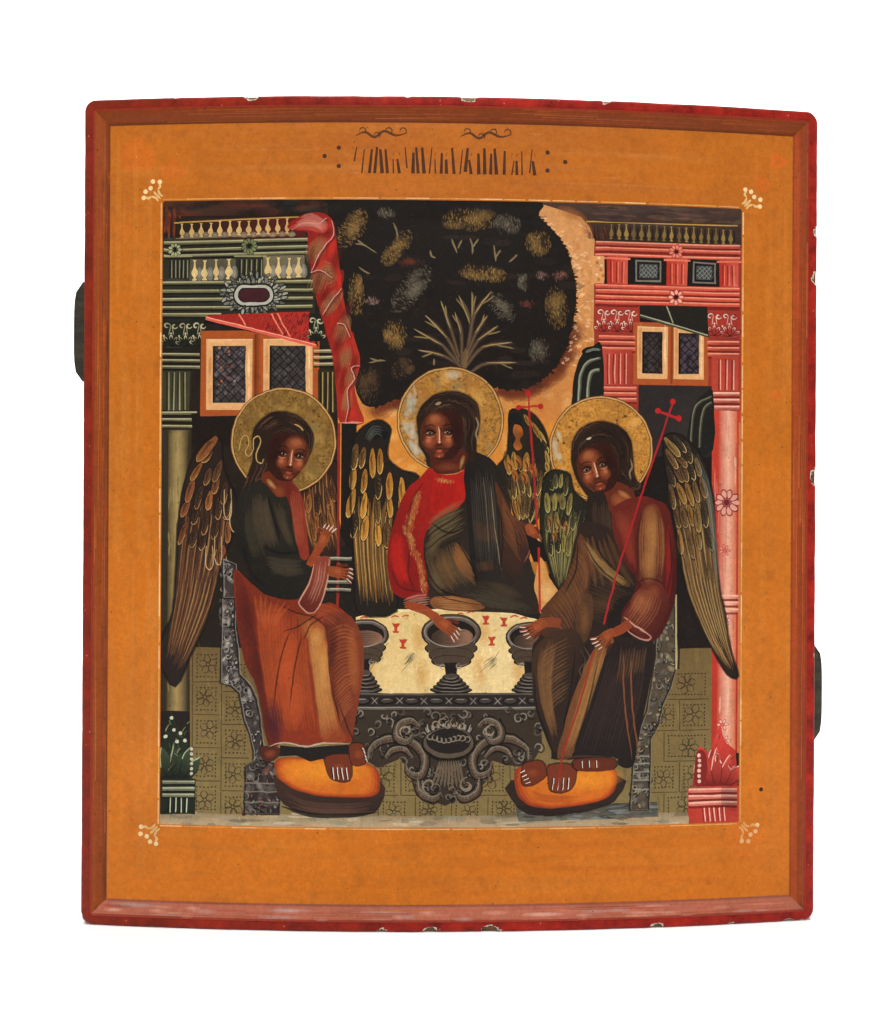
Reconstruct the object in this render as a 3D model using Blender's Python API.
"""A painted icon panel: a cupped wooden board with a stepped hollow cut into its face, and two
tapered dovetail battens driven into its back from opposite edges.

The board stands on its lower edge. +X is the viewer's right, +Z is up and the painted face looks
along -Y. The origin is under the middle of the whole object, at the height of the lower edge.

Every piece is modelled on the board as it was sawn, flat, with its face at y = 0 and its back at
y = BOARD_THICKNESS, and is then bent with it.
"""

import math

import bmesh
import bpy
from mathutils import Vector

# The board, in metres
BOARD_WIDTH = 0.315
BOARD_HEIGHT = 0.350
BOARD_THICKNESS = 0.026
CUP = 0.0111  # how far the middle of the face stands in front of its left and right edges
CORNER_RADIUS = 0.005
FACE_EDGE_RADIUS = 0.0012
BACK_EDGE_CHAMFER = 0.0010

# The outer hollow: a raised rim, then a slope down to the flat border field
RIM_WIDTH = 0.0045
RIM_SLOPE = 0.0064
RIM_DEPTH = 0.0020

# The inner hollow, which holds the picture
PICTURE_SIDE_MARGIN = 0.0341
PICTURE_END_MARGIN = 0.0433
PICTURE_SIDE_SLOPE = 0.0025
PICTURE_END_SLOPE = 0.0065
PICTURE_DEPTH = 0.0015
HOLLOW_CORNER_RADIUS = 0.0030

# The battens, and the grooves that hold them
BATTEN_OFFSET = 0.0795  # from the board's middle to a batten's middle, up and down
BATTEN_WIDE_END = 0.044
BATTEN_NARROW_END = 0.035
BATTEN_DEPTH = 0.009  # sunk into the back of the board
BATTEN_PROUD = 0.003  # left standing out of it
BATTEN_UNDERCUT = 0.0019  # how far each flank leans outwards, from the back to the groove's floor
BATTEN_CHAMFER = 0.0015
BATTEN_OVERHANG = 0.0125  # past the edge that the batten was driven in from
BLIND_LENGTH = 0.026  # uncut wood between a groove's blind end and the far edge
CLEARANCE = 0.0003

# How finely the forms are cut up
STRIPS = 27  # flat strips across the width, for the bend; odd, so that one of them is central
CORNER_SEGMENTS = 6
EDGE_SEGMENTS = 3
OVERCUT = 0.004  # how far a cutter reaches past the surface that it opens
SMOOTH_ANGLE = math.radians(16)

MID_HEIGHT = BOARD_HEIGHT / 2
BEND_RADIUS = ((BOARD_WIDTH / 2) ** 2 + CUP**2) / (2 * CUP)
HALF_ARC = BEND_RADIUS * math.asin(BOARD_WIDTH / 2 / BEND_RADIUS)  # half the flat board's width

# Knocks along the edges of the face. Each is a place on the flat board (x, z) and a size.
CHIP_STANDOFF = 0.35  # of its size, from the board's edge outwards to the middle of a bite
CHIPS = (
    (-0.0855, BOARD_HEIGHT, 0.0030),
    (0.0055, BOARD_HEIGHT, 0.0034),
    (0.0640, BOARD_HEIGHT, 0.0022),
    (HALF_ARC, 0.2980, 0.0024),
    (HALF_ARC, 0.2780, 0.0032),
    (HALF_ARC, 0.1915, 0.0038),
    (0.0875, 0.0, 0.0028),
    (0.0160, 0.0, 0.0040),
    (-0.0090, 0.0, 0.0032),
    (-0.0290, 0.0, 0.0020),
)


def clear_scene():
    for obj in list(bpy.data.objects):
        bpy.data.objects.remove(obj, do_unlink=True)


def new_collection(name):
    made = bpy.data.collections.new(name)
    bpy.context.scene.collection.children.link(made)
    return made


def new_object(name, shape, home):
    """Turns a bmesh into a mesh object in the collection home."""
    mesh = bpy.data.meshes.new(name)
    shape.to_mesh(mesh)
    shape.free()
    made = bpy.data.objects.new(name, mesh)
    home.objects.link(made)
    return made


def new_cutter(name, shape, home):
    made = new_object(name, shape, home)
    made.hide_render = True
    made.display_type = "WIRE"
    return made


def new_material(name, colour, roughness):
    made = bpy.data.materials.new(name)
    made.use_nodes = True
    shader = made.node_tree.nodes["Principled BSDF"]
    shader.inputs["Base Color"].default_value = (*colour, 1)
    shader.inputs["Roughness"].default_value = roughness
    shader.inputs["Metallic"].default_value = 0.0
    made.diffuse_color = (*colour, 1)
    return made


def block(low, high):
    """A box between two corners, as a bmesh."""
    shape = bmesh.new()
    low, high = Vector(low), Vector(high)
    bmesh.ops.create_cube(shape, size=1.0)
    bmesh.ops.scale(shape, vec=high - low, verts=shape.verts)
    bmesh.ops.translate(shape, vec=(low + high) / 2, verts=shape.verts)
    return shape


def bevel(shape, edges, width, segments):
    bmesh.ops.bevel(
        shape,
        geom=edges,
        offset=width,
        offset_type="OFFSET",
        segments=segments,
        profile=0.5,
        affect="EDGES",
        material=-1,
    )


def edges_at(shape, depth):
    """The edges that lie at one depth behind the flat face."""
    return [e for e in shape.edges if all(abs(v.co.y - depth) < 1e-6 for v in e.verts)]


def edges_through(shape):
    """The edges that run from the front of a shape to its back."""
    return [e for e in shape.edges if abs(e.verts[0].co.y - e.verts[1].co.y) > 1e-4]


def blank_board(home):
    """The flat board: rounded corners, a softened edge round the face and a chamfer at the back."""
    shape = block((-HALF_ARC, 0, 0), (HALF_ARC, BOARD_THICKNESS, BOARD_HEIGHT))
    bevel(shape, edges_through(shape), CORNER_RADIUS, CORNER_SEGMENTS)
    bevel(shape, edges_at(shape, 0), FACE_EDGE_RADIUS, EDGE_SEGMENTS)
    bevel(shape, edges_at(shape, BOARD_THICKNESS), BACK_EDGE_CHAMFER, 1)
    return new_object("panel", shape, home)


def hollow_cutter(name, margins, slopes, mouth, floor, home):
    """A tray-shaped cutter whose sides slope from its mouth down to its floor, both of them depths.

    margins and slopes are widths, first at the sides and then at the ends of the board."""
    half_x, half_z = HALF_ARC - margins[0], MID_HEIGHT - margins[1]
    shape = block((-half_x, -OVERCUT, MID_HEIGHT - half_z), (half_x, floor, MID_HEIGHT + half_z))
    for vert in shape.verts:
        share = (vert.co.y - mouth) / (floor - mouth)  # 1 at the floor, negative before the mouth
        vert.co.x -= math.copysign(1, vert.co.x) * slopes[0] * share
        vert.co.z -= math.copysign(1, vert.co.z - MID_HEIGHT) * slopes[1] * share
    bevel(shape, edges_through(shape), HOLLOW_CORNER_RADIUS, CORNER_SEGMENTS)
    return new_cutter(name, shape, home)


def dovetail(side, middle, proud, overhang, allowance=0.0):
    """A tapered dovetail bar along X, driven in from the edge on one side, -1 or 1.

    Its flanks lean outwards down to the floor of the groove. allowance widens it all round."""
    half_floor = BATTEN_WIDE_END / 2 + allowance
    half_neck = half_floor - BATTEN_UNDERCUT
    floor = BOARD_THICKNESS - BATTEN_DEPTH - allowance
    top = BOARD_THICKNESS + proud
    half_outline = [
        (half_floor, floor),
        (half_neck, BOARD_THICKNESS),
        (half_neck, top - BATTEN_CHAMFER),
        (half_neck - BATTEN_CHAMFER, top),
    ]
    outline = half_outline + [(-z, y) for z, y in reversed(half_outline)]
    wide_x = side * (HALF_ARC + overhang)
    narrow_x = -side * (HALF_ARC - BLIND_LENGTH + allowance)
    shape = bmesh.new()
    section = shape.faces.new([shape.verts.new((wide_x, y, middle + z)) for z, y in outline])
    grown = bmesh.ops.extrude_face_region(shape, geom=[section])["geom"]
    far_end = [part for part in grown if isinstance(part, bmesh.types.BMVert)]
    bmesh.ops.translate(shape, vec=(narrow_x - wide_x, 0, 0), verts=far_end)
    taper = (BATTEN_WIDE_END - BATTEN_NARROW_END) / 2
    for vert in far_end:
        vert.co.z -= math.copysign(taper, vert.co.z - middle)
    bmesh.ops.recalc_face_normals(shape, faces=shape.faces)
    return shape


def chip_cutter(number, x, z, size, home):
    """A rough ball that bites into an edge of the face, where a knock took paint and wood."""
    if abs(x) == HALF_ARC:
        outwards = Vector((math.copysign(1, x), 0, 0))
    else:
        outwards = Vector((0, 0, math.copysign(1, z - MID_HEIGHT)))
    shape = bmesh.new()
    bmesh.ops.create_icosphere(shape, subdivisions=1, radius=size)
    centre = Vector((x, 0, z)) + outwards * size * CHIP_STANDOFF
    bmesh.ops.translate(shape, vec=centre, verts=shape.verts)
    return new_cutter(f"chip_cutter_{number}", shape, home)


def cut(obj, cutters):
    """Takes the cutters out of an object and keeps the result as its mesh."""
    for cutter in cutters:
        boolean = obj.modifiers.new(cutter.name, "BOOLEAN")
        boolean.operation = "DIFFERENCE"
        boolean.solver = "EXACT"
        boolean.object = cutter
    graph = bpy.context.evaluated_depsgraph_get()
    mesh = bpy.data.meshes.new_from_object(obj.evaluated_get(graph))
    obj.modifiers.clear()
    obj.data = mesh


def bent(point):
    """Where a point of the flat board goes once the board has cupped.

    The board bends round an upright axis behind it, so the face bulges and the edges lean out."""
    angle = point.x / BEND_RADIUS
    reach = BEND_RADIUS - point.y
    return Vector((reach * math.sin(angle), BEND_RADIUS - reach * math.cos(angle), point.z))


def bend(obj):
    """Cuts a piece into upright strips, all pieces at the same stations, and bends it.

    Half the depth of the whole object comes off y, which puts the origin under its middle."""
    furthest = bent(Vector((HALF_ARC + BATTEN_OVERHANG, BOARD_THICKNESS + BATTEN_PROUD, 0)))
    to_middle = Vector((0, -furthest.y / 2, 0))
    shape = bmesh.new()
    shape.from_mesh(obj.data)
    for number in range(1, STRIPS):
        station = HALF_ARC * (2 * number / STRIPS - 1)
        geometry = shape.verts[:] + shape.edges[:] + shape.faces[:]
        bmesh.ops.bisect_plane(
            shape, geom=geometry, dist=1e-7, plane_co=(station, 0, 0), plane_no=(1, 0, 0)
        )
    bmesh.ops.remove_doubles(shape, verts=shape.verts, dist=1e-6)
    for vert in shape.verts:
        vert.co = bent(vert.co) + to_middle
    bmesh.ops.triangulate(shape, faces=shape.faces)
    shape.to_mesh(obj.data)
    shape.free()


def finish(obj, surface):
    obj.data.materials.clear()
    obj.data.materials.append(surface)
    obj.data.shade_smooth()
    obj.data.set_sharp_from_angle(angle=SMOOTH_ANGLE)


def main():
    clear_scene()
    home = new_collection("icon_panel")
    helpers = new_collection("cutters")
    paint = new_material("painted_board", (0.53, 0.21, 0.05), 0.45)
    batten_wood = new_material("old_batten_wood", (0.09, 0.06, 0.04), 0.70)

    rim = (RIM_WIDTH, RIM_WIDTH)
    rim_slopes = (RIM_SLOPE, RIM_SLOPE)
    picture = (PICTURE_SIDE_MARGIN, PICTURE_END_MARGIN)
    picture_slopes = (PICTURE_SIDE_SLOPE, PICTURE_END_SLOPE)
    floor = RIM_DEPTH + PICTURE_DEPTH
    cutters = [
        hollow_cutter("border_cutter", rim, rim_slopes, 0.0, RIM_DEPTH, helpers),
        hollow_cutter("picture_cutter", picture, picture_slopes, RIM_DEPTH, floor, helpers),
    ]
    for number, (x, z, size) in enumerate(CHIPS):
        cutters.append(chip_cutter(number, x, z, size, helpers))

    # The upper batten goes in from the viewer's left and the lower one from the right.
    for name, side in (("upper_batten", -1), ("lower_batten", 1)):
        middle = MID_HEIGHT - side * BATTEN_OFFSET
        groove = dovetail(side, middle, OVERCUT, OVERCUT, CLEARANCE)
        cutters.append(new_cutter(f"{name}_groove_cutter", groove, helpers))
        batten = new_object(name, dovetail(side, middle, BATTEN_PROUD, BATTEN_OVERHANG), home)
        bend(batten)
        finish(batten, batten_wood)

    panel = blank_board(home)
    cut(panel, cutters)
    bend(panel)
    finish(panel, paint)


main()
